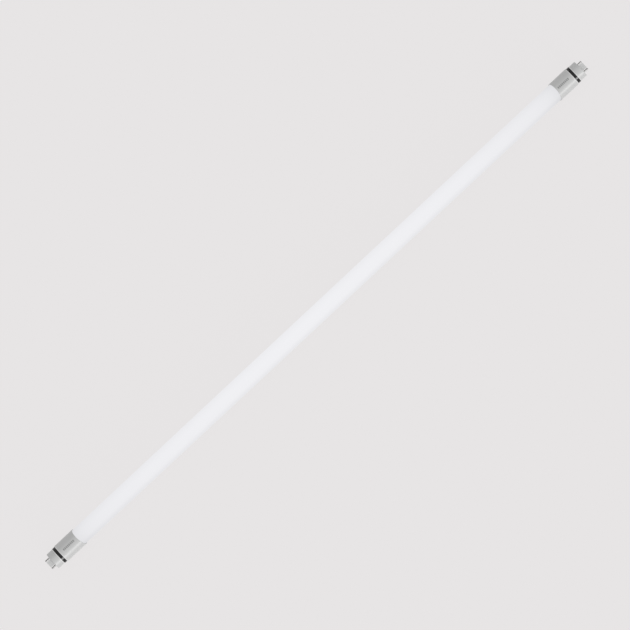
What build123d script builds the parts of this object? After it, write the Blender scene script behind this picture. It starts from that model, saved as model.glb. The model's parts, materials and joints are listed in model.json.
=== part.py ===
from build123d import *
from math import cos, radians, sin, sqrt, tan
import os

os.makedirs("parts", exist_ok=True)

# A straight LED lamp for a two-pin tube fitting. X runs along the tube and +Z is its light side.
# The origin is under the middle of the lamp, on the line where both end caps touch a table.
# Sizes are in millimetres. An end piece is drawn at the right-hand end, with the end face at x = 0,
# the pins pointing to +X and the tube's axis at z = 0, and is mirrored for the left-hand end.

# Standard sizes of the tube and of its two-pin ends
FACE_TO_FACE = 969.4
TUBE_RADIUS = 12.7
PIN_LENGTH = 7.3
PIN_RADIUS = 1.175
PIN_PITCH = 12.7

# The pins' plane is turned about the tube's axis, in degrees, against the lamp's light side
PIN_TURN = 15.0

# Opal tube, extruded with two inner rails that keep the carrier from turning
TUBE_WALL = 1.1
RAIL_THICKNESS = 1.0
RAIL_REACH = 1.4

# Pin holder: the narrow end section with the pins and the flat tongue between them
HOLDER_LENGTH = 10.8
HOLDER_STEP = 0.45
HOLDER_WALL = 1.4
HOLDER_EDGE_BEVEL = 0.5
LIP_LENGTH = 1.2
END_WALL = 2.5
BOSS_DEPTH = 2.5
BOSS_WALL = 1.3
DISH_DEPTH = 0.3
DISH_MARGIN = 0.6
TONGUE_THICKNESS = 2.0
TONGUE_GAP = 0.675
TONGUE_TIP_BEVEL = 0.4

# Pins: hollow, stepped down to pass through the end wall, and riveted over behind the boss
PIN_TIP_BEVEL = 0.55
PIN_TIP_WALL = 1.2
PIN_SEAT_STEP = 0.175
RIVET_STEP = 0.5
RIVET_LENGTH = 0.8
TAIL_LENGTH = 2.6
TAIL_WALL = 0.3

# Black ring between the pin holder and the cap
RING_WIDTH = 4.3
RING_STEP = 0.7
RING_EDGE_BEVEL = 0.25

# End caps: a sleeve over the tube, a shoulder wall, a neck with a snap bead, and two plug tongues
CAP_WALL = 0.75
CAP_FRONT_LENGTHS = {"left": 30.25, "right": 28.4}
CAP_SLANT = 7.4
CAP_EDGE_BEVEL = 0.4
CAP_RIM_BEVEL = 0.3
SHOULDER_WALL = 1.6
NECK_WALL = 1.4
NECK_END_GAP = 0.8
BEAD_HEIGHT = 0.3
BEAD_WIDTH = 1.0
BEAD_SETBACK = 1.6
PLUG_HEIGHT = 4.5
PLUG_DROP = 3.0
PLUG_GRIP = 8.0

# Aluminium carrier: a D-shaped extrusion, low in the tube, with two hooked lips for the LED board
CARRIER_WALL = 1.1
CARRIER_SETBACK = 8.0
BRIDGE_HEIGHT = 0.8
BRIDGE_THICKNESS = 1.2
CAVITY_CORNER_ROUND = 0.4
LIP_STEM = 0.9
LIP_HOOK = 0.7
LIP_CROWN = 0.6

# LED board and the light packages on it
LED_BOARD_WIDTH = 12.0
LED_BOARD_THICKNESS = 1.0
LED_COUNT = 72
LED_LENGTH = 3.5
LED_WIDTH = 2.8
LED_HEIGHT = 0.7
LED_MARGIN = 9.0

# Driver: a printed board in a thin insulating sleeve, in the carrier's cavity at the left-hand end
SLEEVE_FILM = 0.3
SLEEVE_OVERHANG = 2.0
DRIVER_THICKNESS = 1.0
DRIVER_STANDOFF = 1.0
DRIVER_MARGIN = 6.0
PART_GAP = 3.5
LEG_RADIUS = 0.3
LEG_SIDES = 6
LEG_REACH = 1.6
HEADER_PITCH = 2.54
HEADER_DEPTH = 2.5
HEADER_SETBACK = 5.0
HEADER_PIN = 0.64
HEADER_PIN_TAIL = 0.8

# Parts on the driver board, in their order from the supply end
FUSE_LENGTH = 9.0
FUSE_RADIUS = 1.5
FUSE_SIDE = 4.0
VARISTOR_RADIUS = 3.0
VARISTOR_THICKNESS = 2.8
VARISTOR_SIDE = -4.0
RECTIFIER_SIZE = (6.4, 5.0, 1.6)
CHOKE_LENGTH = 10.0
CHOKE_RADIUS = 2.6
CHOKE_FLANGE = 1.2
CHOKE_GROOVE = 0.5
FILM_CAP_SIZE = (10.0, 4.2, 4.8)
FILM_CAP_APART = 0.8
FILM_CAP_BEVEL = 0.4
CONTROLLER_SIZE = (4.9, 3.9, 1.4)
CORE_LENGTH = 12.0
CORE_WIDTH = 10.0
CORE_HEIGHT = 2.8
CORE_LEG = 2.4
COIL_WALL = 1.2
DIODE_SIZE = (4.5, 2.7, 2.0)
SMOOTHER_LENGTH = 13.0
SMOOTHER_ROOM = 0.35
SEAL_SETBACK = 1.5
SEAL_WIDTH = 0.8
SEAL_DEPTH = 0.3
CHIP_SIZE = (3.2, 1.6, 0.6)
CHIP_SIDE = 6.0
CHIP_BEVEL = 0.25

# Strip that joins the pins of the right-hand end, and the leads
LINK_THICKNESS = 0.5
LINK_MARGIN = 0.8
LEAD_RADIUS = 0.6
LEAD_CRIMP = 2.0
LEAD_STRAIGHT = 2.0
LEAD_LANDING = 3.0
LEAD_PAD_LENGTH = 6.5
LEAD_EDGE = 4.1

# Clearances
SLEEVE_FIT = 0.05
SNAP_FIT = 0.1
PIN_FIT = 0.03
TUBE_END_GAP = 0.3
CARRIER_FIT = 0.15
PLUG_FIT = 0.15
BOARD_FIT = 0.1
DRIVER_FIT = 0.2
HEADER_FIT = 0.1
LEAD_FIT = 0.05
COIL_FIT = 0.1
PLUG_TO_SLEEVE = 1.0

# Radii about the tube's axis, each from the piece that it fits
tube_bore = TUBE_RADIUS - TUBE_WALL
cap_bore = TUBE_RADIUS + SLEEVE_FIT
cap_radius = cap_bore + CAP_WALL
ring_radius = cap_radius - RING_STEP
holder_radius = ring_radius - HOLDER_STEP
holder_bore = holder_radius - HOLDER_WALL
neck_radius = holder_bore - SNAP_FIT
neck_bore = neck_radius - NECK_WALL
carrier_radius = tube_bore - CARRIER_FIT
cavity_radius = carrier_radius - CARRIER_WALL
plug_radius = cavity_radius - PLUG_FIT
film_radius = cavity_radius - DRIVER_FIT
film_bore = film_radius - SLEEVE_FILM
pin_seat_radius = PIN_RADIUS - PIN_SEAT_STEP
pin_hole_radius = pin_seat_radius + PIN_FIT
pin_bore = LEAD_RADIUS + LEAD_FIT
pin_tail_radius = pin_bore + TAIL_WALL

# Heights above the tube's axis
cavity_top = BRIDGE_HEIGHT - BRIDGE_THICKNESS
film_top = cavity_top - DRIVER_FIT
driver_top = film_top - SLEEVE_FILM - DRIVER_STANDOFF
driver_bottom = driver_top - DRIVER_THICKNESS
led_board_top = BRIDGE_HEIGHT + LED_BOARD_THICKNESS

# Distances inwards from an end face
ring_back = HOLDER_LENGTH + RING_WIDTH
shoulder_back = ring_back + SHOULDER_WALL
tube_start = shoulder_back + TUBE_END_GAP
carrier_start = tube_start + CARRIER_SETBACK
plug_end = carrier_start + PLUG_GRIP
film_start = plug_end + PLUG_TO_SLEEVE
driver_start = film_start + SLEEVE_OVERHANG
header_at = driver_start + HEADER_SETBACK
notch_end = header_at + HEADER_DEPTH / 2 + SNAP_FIT
neck_end = END_WALL + NECK_END_GAP
boss_end = END_WALL + BOSS_DEPTH
rivet_end = boss_end + RIVET_LENGTH
tail_end = rivet_end + TAIL_LENGTH

half_face = FACE_TO_FACE / 2
header_width = 2 * HEADER_PITCH
notch_width = header_width + 2 * SNAP_FIT
driver_half_width = sqrt(film_bore**2 - driver_bottom**2) - BOARD_FIT
smoother_radius = (film_bore + driver_bottom) / 2 - SMOOTHER_ROOM

# Middles of the parts on the driver board, from the board's left-hand end, each after the one before
leg_room = LEG_REACH + PART_GAP
input_room = max(LEAD_PAD_LENGTH, HEADER_SETBACK + HEADER_DEPTH / 2)
fuse_at = input_room + leg_room + FUSE_LENGTH / 2
rectifier_at = fuse_at + FUSE_LENGTH / 2 + leg_room + RECTIFIER_SIZE[0] / 2
choke_at = rectifier_at + RECTIFIER_SIZE[0] / 2 + leg_room + CHOKE_LENGTH / 2
film_cap_at = choke_at + CHOKE_LENGTH / 2 + leg_room + FILM_CAP_SIZE[0] / 2
controller_at = film_cap_at + FILM_CAP_SIZE[0] / 2 + PART_GAP + CONTROLLER_SIZE[0] / 2
inductor_at = controller_at + CONTROLLER_SIZE[0] / 2 + PART_GAP + CORE_LENGTH / 2
diode_at = inductor_at + CORE_LENGTH / 2 + PART_GAP + DIODE_SIZE[0] / 2
smoother_at = diode_at + DIODE_SIZE[0] / 2 + leg_room + SMOOTHER_LENGTH / 2
driver_length = smoother_at + SMOOTHER_LENGTH / 2 + DRIVER_MARGIN


def turned(points, bevels):
    """Turn a closed outline of (x, radius) points about the tube's axis, after bevelling corners."""
    outline = make_face(Polyline(*points, close=True))
    for corner, size in bevels:
        outline = chamfer(outline.vertices().sort_by_distance((*corner, 0))[0], size)
    return revolve(outline, Axis.X)


def along_x(section, start, end):
    """Extrude a section, drawn with Y to the right and Z up, from x = start to x = end."""
    return extrude(Plane.YZ.offset(start) * section, end - start)


def below(radius, top):
    """The part of a disc about the axis that lies below a height."""
    depth = radius + top
    return Circle(radius) & Pos(0, top - depth / 2) * Rectangle(2 * radius, depth)


def ring_section(outer, inner):
    return Circle(outer) - Circle(inner)


def with_pins(shape):
    """Turn a piece that belongs to the pins about the tube's axis."""
    return Rot(PIN_TURN, 0, 0) * shape


def at_end(shape, side):
    """Move a piece drawn at the right-hand end to its own end, on the tube's axis."""
    if side == "left":
        return Pos(-half_face, 0, cap_radius) * mirror(shape, Plane.YZ)
    return Pos(half_face, 0, cap_radius) * shape


def from_left(distance):
    return distance - half_face


def write(shape, name):
    export_step(shape, f"parts/{name}.step")


def write_inner(shape, name):
    """Save a piece drawn about the tube's axis, lifted to the axis's height above the table."""
    write(Pos(0, 0, cap_radius) * shape, name)


def opal_tube():
    """Full-round extrusion, with a rail on each side that rests on the carrier's shoulders."""
    rail_bottom = BRIDGE_HEIGHT + CARRIER_FIT
    wall_middle = TUBE_RADIUS - TUBE_WALL / 2
    rail_edge = sqrt(tube_bore**2 - rail_bottom**2) - RAIL_REACH
    rail_size = wall_middle - rail_edge
    rail = Rectangle(rail_size, RAIL_THICKNESS)
    section = ring_section(TUBE_RADIUS, tube_bore)
    for hand in (-1, 1):
        section += Pos(hand * (rail_edge + rail_size / 2), rail_bottom + RAIL_THICKNESS / 2) * rail
    return along_x(section, from_left(tube_start), -from_left(tube_start))


def led_carrier():
    """D-shaped tube with a flat bridge. The bridge is notched at the left for the header."""
    cavity = below(cavity_radius, cavity_top)
    cavity = fillet(cavity.vertices(), CAVITY_CORNER_ROUND)
    section = below(carrier_radius, BRIDGE_HEIGHT) - cavity
    stem_edge = LED_BOARD_WIDTH / 2 + BOARD_FIT
    hook_bottom = LED_BOARD_THICKNESS + BOARD_FIT
    lip_height = hook_bottom + LIP_CROWN
    stem = Pos(stem_edge + LIP_STEM / 2, lip_height / 2) * Rectangle(LIP_STEM, lip_height)
    hook = Pos(stem_edge - LIP_HOOK / 2, hook_bottom + LIP_CROWN / 2) * Rectangle(LIP_HOOK, LIP_CROWN)
    lip = Pos(0, BRIDGE_HEIGHT) * (stem + hook)
    section += lip + mirror(lip, Plane.YZ)
    start = from_left(carrier_start)
    body = along_x(section, start, -start)
    notch_length = notch_end - carrier_start
    notch = Pos(start + notch_length / 2, 0, BRIDGE_HEIGHT) * Box(
        notch_length, notch_width, 2 * BRIDGE_THICKNESS + LIP_CROWN
    )
    return body - notch


def header_points():
    """Where the two header pins stand, as (x, y)."""
    return [(from_left(header_at), hand * HEADER_PITCH / 2) for hand in (-1, 1)]


def drilled(board, points, radius):
    """Drill a board straight through at each (x, y)."""
    for x, y in points:
        board -= Pos(x, y, board.center().Z) * Cylinder(radius, 4 * board.bounding_box().size.Z)
    return board


def led_board():
    start = from_left(carrier_start + BOARD_FIT)
    board = Pos(0, 0, BRIDGE_HEIGHT + LED_BOARD_THICKNESS / 2) * Box(
        -2 * start, LED_BOARD_WIDTH, LED_BOARD_THICKNESS
    )
    return drilled(board, header_points(), HEADER_PIN / 2 * sqrt(2) + HEADER_FIT)


def led_packages():
    """One row of light packages, evenly spaced from cap to cap."""
    package = Box(LED_LENGTH, LED_WIDTH, LED_HEIGHT)
    first = from_left(ring_back + CAP_FRONT_LENGTHS["left"] + LED_MARGIN)
    last = -from_left(ring_back + CAP_FRONT_LENGTHS["right"] + LED_MARGIN)
    pitch = (last - first) / (LED_COUNT - 1)
    height = led_board_top + LED_HEIGHT / 2
    return Compound([Pos(first + i * pitch, 0, height) * package for i in range(LED_COUNT)])


def end_cap(front_length):
    """One moulding: sleeve, shoulder wall, neck with a snap bead, and two plug tongues."""
    rim_front = -(ring_back + front_length)
    rim_back = rim_front - CAP_SLANT
    bead_out = -(neck_end + BEAD_SETBACK)
    bead_in = bead_out - BEAD_WIDTH
    outline = [
        (-neck_end, neck_bore),
        (-neck_end, neck_radius),
        (bead_out, neck_radius),
        (bead_in, neck_radius + BEAD_HEIGHT),
        (bead_in, neck_radius),
        (-ring_back, neck_radius),
        (-ring_back, cap_radius),
        (rim_back, cap_radius),
        (rim_back, cap_bore),
        (-shoulder_back, cap_bore),
        (-shoulder_back, neck_bore),
    ]
    shell = turned(outline, [((-ring_back, cap_radius), CAP_EDGE_BEVEL)])
    reach = 2 * cap_radius
    lean = CAP_SLANT / (2 * cap_radius)
    slant = make_face(
        Polyline(
            (rim_front + lean * cap_radius, reach),
            (rim_front - lean * (cap_radius + reach), -reach),
            (rim_back - reach, -reach),
            (rim_back - reach, reach),
            close=True,
        )
    )
    shell -= extrude(Plane.XZ * slant, reach, both=True)
    rim = shell.faces().sort_by(Axis.X)[0].outer_wire()
    shell = chamfer(rim.edges(), CAP_RIM_BEVEL)
    band = Pos(0, -PLUG_DROP - PLUG_HEIGHT / 2) * Rectangle(2 * cap_radius, PLUG_HEIGHT)
    plugs = ring_section(plug_radius, neck_bore) & band
    return shell + along_x(plugs, -plug_end, -shoulder_back)


def pin_holder():
    """A cup that snaps over the neck, with a boss and a shallow dish for each pin and a flat tongue."""
    bead_out = -(neck_end + BEAD_SETBACK)
    groove_out = bead_out + SNAP_FIT
    groove_in = bead_out - BEAD_WIDTH - SNAP_FIT
    groove_bore = holder_bore + BEAD_HEIGHT
    lip_front = -(HOLDER_LENGTH - LIP_LENGTH)
    outline = [
        (0, 0),
        (0, holder_radius),
        (lip_front, holder_radius),
        (lip_front, ring_radius),
        (-HOLDER_LENGTH, ring_radius),
        (-HOLDER_LENGTH, holder_bore),
        (groove_in, holder_bore),
        (groove_in, groove_bore),
        (groove_out, groove_bore),
        (groove_out, holder_bore),
        (-END_WALL, holder_bore),
        (-END_WALL, 0),
    ]
    cup = turned(outline, [((0, holder_radius), HOLDER_EDGE_BEVEL)])
    boss_limit = Circle(neck_bore - SNAP_FIT)
    for hand in (-1, 1):
        boss = Pos(hand * PIN_PITCH / 2, 0) * Circle(pin_hole_radius + BOSS_WALL)
        cup += along_x(boss & boss_limit, -boss_end, -END_WALL)
    tongue_width = PIN_PITCH - 2 * (PIN_RADIUS + TONGUE_GAP)
    tongue = Pos(PIN_LENGTH / 2, 0, 0) * Box(PIN_LENGTH, tongue_width, TONGUE_THICKNESS)
    cup += chamfer(tongue.edges().group_by(Axis.X)[-1], TONGUE_TIP_BEVEL)
    for hand in (-1, 1):
        pin_place = Pos(hand * PIN_PITCH / 2, 0)
        cup -= along_x(pin_place * Circle(pin_hole_radius), -boss_end, 0)
        cup -= along_x(pin_place * Circle(PIN_RADIUS + DISH_MARGIN), -DISH_DEPTH, 0)
    return cup


def contact_pin(hand):
    """Hollow turned pin: bevelled tip, shank, seat in the end wall, rivet head and crimped tail."""
    rivet_radius = pin_seat_radius + RIVET_STEP
    bore_end = PIN_LENGTH - PIN_TIP_WALL
    outline = [
        (PIN_LENGTH, 0),
        (PIN_LENGTH, PIN_RADIUS),
        (-DISH_DEPTH, PIN_RADIUS),
        (-DISH_DEPTH, pin_seat_radius),
        (-boss_end, pin_seat_radius),
        (-boss_end, rivet_radius),
        (-rivet_end, rivet_radius),
        (-rivet_end, pin_tail_radius),
        (-tail_end, pin_tail_radius),
        (-tail_end, pin_bore),
        (bore_end, pin_bore),
        (bore_end, 0),
    ]
    pin = turned(outline, [((PIN_LENGTH, PIN_RADIUS), PIN_TIP_BEVEL)])
    return Pos(0, hand * PIN_PITCH / 2, 0) * pin


def black_ring():
    bore = neck_radius + SNAP_FIT
    outline = [
        (-HOLDER_LENGTH, bore),
        (-HOLDER_LENGTH, ring_radius),
        (-ring_back, ring_radius),
        (-ring_back, bore),
    ]
    corners = [(-HOLDER_LENGTH, ring_radius), (-ring_back, ring_radius)]
    return turned(outline, [(corner, RING_EDGE_BEVEL) for corner in corners])


def driver_sleeve():
    """Insulating film folded to the cavity's D shape, notched over the header."""
    section = below(film_radius, film_top) - below(film_bore, film_top - SLEEVE_FILM)
    start = from_left(film_start)
    end = from_left(driver_start + driver_length + SLEEVE_OVERHANG)
    notch_length = notch_end - film_start
    notch = Pos(start + notch_length / 2, 0, film_top) * Box(notch_length, notch_width, 4 * SLEEVE_FILM)
    return along_x(section, start, end) - notch


def on_driver(at, side=0.0):
    """A place on the driver board's component side, which faces down."""
    return Pos(from_left(driver_start + at), side, driver_bottom)


def bent_leg(start, hand):
    """A leg that leaves a part along X and turns sharply up to the board's face."""
    x, y, z = start
    turn_x = x + hand * LEG_REACH
    path = Polyline(start, (turn_x, y, z), (turn_x, y, driver_bottom))
    section = Plane(origin=start, z_dir=(hand, 0, 0)) * RegularPolygon(LEG_RADIUS, LEG_SIDES)
    return sweep(section, path, transition=Transition.RIGHT)


def lying_body(section, length, at, side, radius):
    """A round body that lies along the board, and the centres of its two ends."""
    x, y, z = from_left(driver_start + at), side, driver_bottom - radius
    ends = {hand: (x + hand * length / 2, y, z) for hand in (-1, 1)}
    return Pos(x, y, z) * along_x(section, -length / 2, length / 2), ends


def with_bent_legs(body, starts):
    """Add a bent leg at each (hand, start)."""
    for hand, start in starts:
        body += bent_leg(start, hand)
    return body


def fuse_resistor():
    body, ends = lying_body(Circle(FUSE_RADIUS), FUSE_LENGTH, fuse_at, FUSE_SIDE, FUSE_RADIUS)
    return with_bent_legs(body, ends.items())


def varistor():
    """A disc that lies flat against the board."""
    place = on_driver(fuse_at, VARISTOR_SIDE)
    return place * Pos(0, 0, -VARISTOR_THICKNESS / 2) * Cylinder(VARISTOR_RADIUS, VARISTOR_THICKNESS)


def flat_chip(at, size):
    """A moulded chip on the middle of the board's face, with its free edges bevelled."""
    body = Box(*size)
    body = chamfer(body.edges().group_by(Axis.Z)[0], CHIP_BEVEL)
    return on_driver(at) * Pos(0, 0, -size[2] / 2) * body


def input_choke():
    """A wound ferrite bobbin that lies along the board: two flanges and a waist."""
    body, ends = lying_body(Circle(CHOKE_RADIUS), CHOKE_LENGTH, choke_at, 0, CHOKE_RADIUS)
    groove = ring_section(CHOKE_RADIUS, CHOKE_RADIUS - CHOKE_GROOVE)
    half = CHOKE_LENGTH / 2 - CHOKE_FLANGE
    body -= on_driver(choke_at) * Pos(0, 0, -CHOKE_RADIUS) * along_x(groove, -half, half)
    return with_bent_legs(body, ends.items())


def film_capacitors():
    """Two boxed capacitors side by side."""
    _, width, height = FILM_CAP_SIZE
    case = Box(*FILM_CAP_SIZE)
    case = Pos(0, 0, -height / 2) * chamfer(case.edges().filter_by(Axis.Z), FILM_CAP_BEVEL)
    sides = [hand * (width + FILM_CAP_APART) / 2 for hand in (-1, 1)]
    return Compound([on_driver(film_cap_at, side) * case for side in sides])


coil_inner_width = CORE_LEG + 2 * COIL_FIT
coil_inner_height = CORE_HEIGHT + 2 * COIL_FIT
coil_width = coil_inner_width + 2 * COIL_WALL
coil_height = coil_inner_height + 2 * COIL_WALL


def inductor_core():
    """Two E-shaped halves that meet about the coil, seen as one frame with a middle leg."""
    window_width = (coil_width - CORE_LEG) / 2 + COIL_FIT
    window_length = CORE_LENGTH - 2 * CORE_LEG
    core = Box(CORE_LENGTH, CORE_WIDTH, CORE_HEIGHT)
    for hand in (-1, 1):
        window = Box(window_length, window_width, 2 * CORE_HEIGHT)
        core -= Pos(0, hand * (CORE_LEG + window_width) / 2, 0) * window
    return on_driver(inductor_at) * Pos(0, 0, -coil_height / 2) * core


def inductor_coil():
    """Rounded winding about the core's middle leg, flat against the board."""
    section = RectangleRounded(coil_width, coil_height, COIL_WALL)
    section -= Rectangle(coil_inner_width, coil_inner_height)
    half = CORE_LENGTH / 2 - CORE_LEG - COIL_FIT
    return on_driver(inductor_at) * Pos(0, 0, -coil_height / 2) * along_x(section, -half, half)


def smoothing_capacitor():
    """A can that lies along the board, with the rolled groove of its seal."""
    body, ends = lying_body(Circle(smoother_radius), SMOOTHER_LENGTH, smoother_at, 0, smoother_radius)
    x, _, z = ends[-1]
    groove = ring_section(smoother_radius, smoother_radius - SEAL_DEPTH)
    body -= Pos(x, 0, z) * along_x(groove, SEAL_SETBACK, SEAL_SETBACK + SEAL_WIDTH)
    starts = [(-1, (x, hand * HEADER_PITCH / 2, z)) for hand in (-1, 1)]
    return with_bent_legs(body, starts)


def chip_resistors():
    """Small chips in two rows beside the larger parts."""
    chip = Pos(0, 0, -CHIP_SIZE[2] / 2) * Box(*CHIP_SIZE)
    rows = (rectifier_at, choke_at, controller_at)
    return Compound([on_driver(at, hand * CHIP_SIDE) * chip for at in rows for hand in (-1, 1)])


def driver_board():
    """Printed board whose edges seat against the curve of the cavity."""
    middle = from_left(driver_start) + driver_length / 2
    board = Pos(middle, 0, driver_top - DRIVER_THICKNESS / 2) * Box(
        driver_length, 2 * driver_half_width, DRIVER_THICKNESS
    )
    return drilled(board, header_points(), HEADER_PIN / 2 * sqrt(2) + HEADER_FIT)


def header_block():
    """Insulator that stands on the driver board and reaches through the carrier's notch."""
    height = BRIDGE_HEIGHT - BOARD_FIT - driver_top
    block = Pos(from_left(header_at), 0, driver_top + height / 2) * Box(HEADER_DEPTH, header_width, height)
    for x, y in header_points():
        block -= Pos(x, y, driver_top + height / 2) * Box(
            HEADER_PIN + 2 * LEAD_FIT, HEADER_PIN + 2 * LEAD_FIT, 2 * height
        )
    return block


def header_pins():
    """Two square pins that join the driver board to the LED board above it."""
    bottom = driver_bottom - HEADER_PIN_TAIL
    top = led_board_top + HEADER_PIN_TAIL
    pin = Box(HEADER_PIN, HEADER_PIN, top - bottom)
    return Compound([Pos(x, y, (top + bottom) / 2) * pin for x, y in header_points()])


def lead_radii(points):
    """The largest arcs that the runs between the points allow."""
    radii = []
    for before, corner, after in zip(points, points[1:], points[2:]):
        first = Vector(*corner) - Vector(*before)
        second = Vector(*after) - Vector(*corner)
        shorter = min(first.length, second.length)
        radii.append(0.45 * shorter / tan(radians(first.get_angle(second) / 2)))
    return radii


def lead(points, name):
    """A round lead of straight runs joined by tangent arcs."""
    radii = lead_radii(points)
    print(name, "bend radii", [round(radius, 2) for radius in radii])
    path = FilletPolyline(*points, radius=radii)
    start = Plane(origin=points[0], z_dir=Vector(*points[1]) - Vector(*points[0]))
    return sweep(start * Circle(LEAD_RADIUS), path)


def supply_lead(hand):
    """From inside a pin's tail to a pad under the driver board."""
    pin_side = hand * PIN_PITCH / 2 * cos(radians(PIN_TURN))
    pin_height = hand * PIN_PITCH / 2 * sin(radians(PIN_TURN))
    pad_side = hand * (driver_half_width - LEAD_EDGE)
    pad_height = driver_bottom - LEAD_FIT - LEAD_RADIUS
    points = [
        (from_left(tail_end - LEAD_CRIMP), pin_side, pin_height),
        (from_left(tail_end + LEAD_STRAIGHT), pin_side, pin_height),
        (from_left(driver_start - LEAD_LANDING), pad_side, pad_height),
        (from_left(driver_start + LEAD_PAD_LENGTH), pad_side, pad_height),
    ]
    return lead(points, "supply lead")


def pin_link():
    """Stamped strip against the rivet heads that joins the two pins of the right-hand end."""
    strip = SlotCenterToCenter(PIN_PITCH, 2 * (pin_tail_radius + PIN_FIT + LINK_MARGIN))
    for hand in (-1, 1):
        strip -= Pos(hand * PIN_PITCH / 2, 0) * Circle(pin_tail_radius + PIN_FIT)
    return along_x(strip, half_face - rivet_end - LINK_THICKNESS, half_face - rivet_end)


write_inner(opal_tube(), "opal_tube")
write_inner(led_carrier(), "led_carrier")
write_inner(led_board(), "led_board")
write_inner(led_packages(), "led_packages")

for side, front_length in CAP_FRONT_LENGTHS.items():
    write(at_end(end_cap(front_length), side), f"end_cap_{side}")
    write(at_end(black_ring(), side), f"black_ring_{side}")
    write(at_end(with_pins(pin_holder()), side), f"pin_holder_{side}")
    for place, hand in (("front", -1), ("back", 1)):
        write(at_end(with_pins(contact_pin(hand)), side), f"contact_pin_{side}_{place}")

write_inner(driver_sleeve(), "driver_sleeve")
write_inner(driver_board(), "driver_board")
write_inner(fuse_resistor(), "fuse_resistor")
write_inner(varistor(), "varistor")
write_inner(input_choke(), "input_choke")
write_inner(film_capacitors(), "film_capacitors")
write_inner(inductor_core(), "inductor_core")
write_inner(inductor_coil(), "inductor_coil")
write_inner(smoothing_capacitor(), "smoothing_capacitor")
write_inner(flat_chip(rectifier_at, RECTIFIER_SIZE), "bridge_rectifier")
write_inner(flat_chip(controller_at, CONTROLLER_SIZE), "controller_chip")
write_inner(flat_chip(diode_at, DIODE_SIZE), "output_diode")
write_inner(chip_resistors(), "chip_resistors")
write_inner(header_block(), "header_block")
write_inner(header_pins(), "header_pins")
write_inner(supply_lead(-1), "supply_lead_front")
write_inner(supply_lead(1), "supply_lead_back")
write_inner(with_pins(pin_link()), "pin_link")
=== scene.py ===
# %% [markdown]
# # A straight LED lamp with two pins at each end
# This lesson dresses a finished construction model. The frame holds every piece at its real size
# and place, so nothing here is fitted by eye. The steps model the pieces that show with Blender's
# own tools, give every piece a finish, and set up the studio and the camera.

# %% Load the fixed frame
import json
from math import asin, atan, atan2, cos, degrees, pi, radians, sin

import bpy
from mathutils import Matrix, Vector


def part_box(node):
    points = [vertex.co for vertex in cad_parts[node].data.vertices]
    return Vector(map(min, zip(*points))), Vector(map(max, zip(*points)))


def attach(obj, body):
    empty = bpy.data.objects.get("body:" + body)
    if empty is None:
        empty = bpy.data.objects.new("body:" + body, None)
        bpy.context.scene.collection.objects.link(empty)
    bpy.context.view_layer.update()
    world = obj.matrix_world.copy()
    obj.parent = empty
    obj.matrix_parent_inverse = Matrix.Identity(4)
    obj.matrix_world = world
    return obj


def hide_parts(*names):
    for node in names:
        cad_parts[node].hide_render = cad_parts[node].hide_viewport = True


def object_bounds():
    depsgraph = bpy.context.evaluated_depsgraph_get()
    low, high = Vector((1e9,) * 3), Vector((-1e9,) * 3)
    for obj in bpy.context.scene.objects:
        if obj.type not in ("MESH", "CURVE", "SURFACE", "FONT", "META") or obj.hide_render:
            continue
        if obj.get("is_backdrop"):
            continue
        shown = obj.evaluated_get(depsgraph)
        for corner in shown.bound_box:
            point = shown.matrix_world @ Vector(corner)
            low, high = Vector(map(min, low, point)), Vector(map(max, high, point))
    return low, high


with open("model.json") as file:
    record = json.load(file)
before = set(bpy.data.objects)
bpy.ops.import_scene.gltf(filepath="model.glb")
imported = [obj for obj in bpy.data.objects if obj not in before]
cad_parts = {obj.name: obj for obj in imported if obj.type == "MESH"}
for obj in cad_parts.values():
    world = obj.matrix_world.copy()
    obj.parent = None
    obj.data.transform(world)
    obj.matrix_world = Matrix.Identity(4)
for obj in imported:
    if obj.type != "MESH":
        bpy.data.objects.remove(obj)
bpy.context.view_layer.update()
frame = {"nodes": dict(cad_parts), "record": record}

# %% [markdown]
# ## Sizes from the frame
# The lamp lies along X with its light side up. Each end is the same set of pieces, so it is drawn
# once at the right-hand end, in millimetres, with the end face at x = 0 and the tube's axis at
# z = 0. The outer sizes are read from the boxes of the construction pieces, and the smaller ones,
# which only a section would show, are named here as they are needed.

# %% Read the main sizes
MM = 0.001
mounts = {m["name"]: m for m in frame["record"]["mounts"]}
half_face = mounts["end_face_right"]["pos_m"][0] / MM
pins_across = Vector(mounts["pin_right_back"]["pos_m"]) - Vector(mounts["pin_right_front"]["pos_m"])
pin_pitch = pins_across.length / MM
pin_turn = atan2(pins_across.z, pins_across.y)
pin_radius = mounts["pin_right_back"]["dims"]["r_mm"]


def size_of(node):
    """The lowest and highest corners of a construction piece, in millimetres."""
    low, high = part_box(node)
    return low / MM, high / MM


cap_low, cap_high = size_of("end_cap_right")
ring_low, ring_high = size_of("black_ring_right")
holder_low, holder_high = size_of("pin_holder_right")
tube_low, tube_high = size_of("opal_tube")
pin_low, pin_high = size_of("contact_pin_right_back")
axis_height = (tube_low.z + tube_high.z) / 2
tube_radius = (tube_high.z - tube_low.z) / 2
cap_radius = (cap_high.z - cap_low.z) / 2
ring_radius = (ring_high.z - ring_low.z) / 2
pin_length = pin_high.x - half_face
pin_tail = half_face - pin_low.x
holder_length = half_face - holder_low.x
ring_back = half_face - ring_low.x
print("radii: tube", round(tube_radius, 2), "cap", round(cap_radius, 2), "ring", round(ring_radius, 2))
print("pins: pitch", round(pin_pitch, 2), "turned", round(degrees(pin_turn), 1), "degrees")

# %% [markdown]
# ## One way to make every turned piece
# Caps, rings, holders and pins are all round about the tube's axis. By hand, such a piece is drawn
# as an outline, its corners are rounded while it is still flat, and the outline is spun round the
# axis. That keeps each corner's radius true, and gives even rows of faces that shade well.
# A cylinder with bevels would give the same outside but not the stepped inside.

# %% Select points by their place
TOUCH = 0.01 * MM
WELD = 0.001 * MM


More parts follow.
